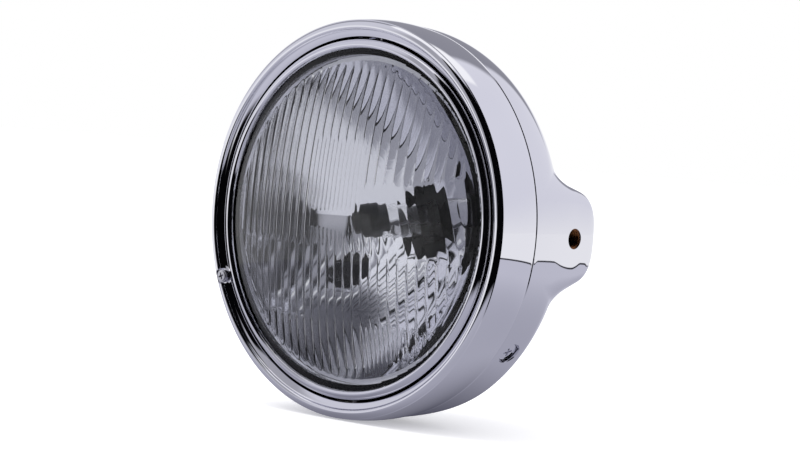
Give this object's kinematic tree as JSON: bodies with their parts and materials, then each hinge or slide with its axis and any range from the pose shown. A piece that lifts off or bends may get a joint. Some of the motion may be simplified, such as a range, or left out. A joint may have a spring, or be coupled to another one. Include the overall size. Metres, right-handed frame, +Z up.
{
  "type": "round motorcycle headlight",
  "caption": "Round chromed motorcycle headlight with fluted glass, an aimable light unit, a bowl-shaped shell and tapped side mounts.",
  "frame": {"origin": "middle of the lamp's bounding box, on the lens axis", "axes": "-Y is where the lamp shines, +X is its right-hand side seen from in front, +Z is up"},
  "size_m": [0.1992, 0.1182, 0.1992],
  "materials": {
    "chrome_shell": "bright chrome plate, mirror smooth",
    "chrome_ring": "bright chrome plate, mirror smooth",
    "chrome_inner_ring": "bright chrome plate, mirror smooth",
    "zinc_steel": "zinc-plated pressed steel",
    "screw_steel": "bright plated screws",
    "spring_steel": "drawn spring wire",
    "brass": "bare turned brass with cutting marks",
    "rubber": "matt black moulded rubber",
    "nylon": "natural nylon",
    "lens_glass": "pressed clear glass, fluted on its back",
    "mirror_coat": "vacuum-coated mirror",
    "bulb_metal": "plain pressed metal",
    "bulb_glass": "clear blown glass",
    "filament_metal": "drawn wire and pressed shield"
  },
  "bodies": {
    "housing": {"shell": "chrome_shell", "trim_ring": "chrome_ring", "mount_ring": "zinc_steel", "rim_bracket_left": "zinc_steel", "rim_bracket_right": "zinc_steel", "rim_nut_left": "zinc_steel", "rim_nut_right": "zinc_steel", "shell_screw_left": "screw_steel", "shell_screw_right": "screw_steel", "mount_insert_left": "brass", "mount_insert_right": "brass", "hinge_pin_top": "screw_steel", "hinge_pin_bottom": "screw_steel", "cable_grommet": "rubber", "aim_spring": "spring_steel"},
    "light_unit": {"aim_nut": "nylon", "retaining_ring": "chrome_inner_ring", "lens": "lens_glass", "lens_seal": "rubber", "reflector": "mirror_coat", "unit_carrier": "zinc_steel", "bulb_base": "bulb_metal", "bulb_glass": "bulb_glass", "bulb_filaments": "filament_metal", "bulb_clip": "spring_steel", "bulb_boot": "rubber", "parking_bulb": "bulb_glass", "parking_holder": "rubber"},
    "aiming_screw": {"aim_screw": "screw_steel", "aim_clip": "spring_steel"}
  },
  "joints": [
    {"name": "beam_aim", "type": "hinge", "parent": "housing", "child": "light_unit", "pos_m": [0, -0.03257, 0], "axis": [0, 0, 1], "range_deg": [-2, 2], "deforming": ["aim_spring"]},
    {"name": "aim_screw_turn", "type": "hinge", "parent": "housing", "child": "aiming_screw", "pos_m": [-0.08659, -0.04657, -0.03658], "axis": [0, 1, 0], "range_deg": [-1560, 1560]}
  ],
  "couplings": [
    {"joint": "aim_screw_turn", "follows": "beam_aim", "ratio": 777.24}
  ]
}
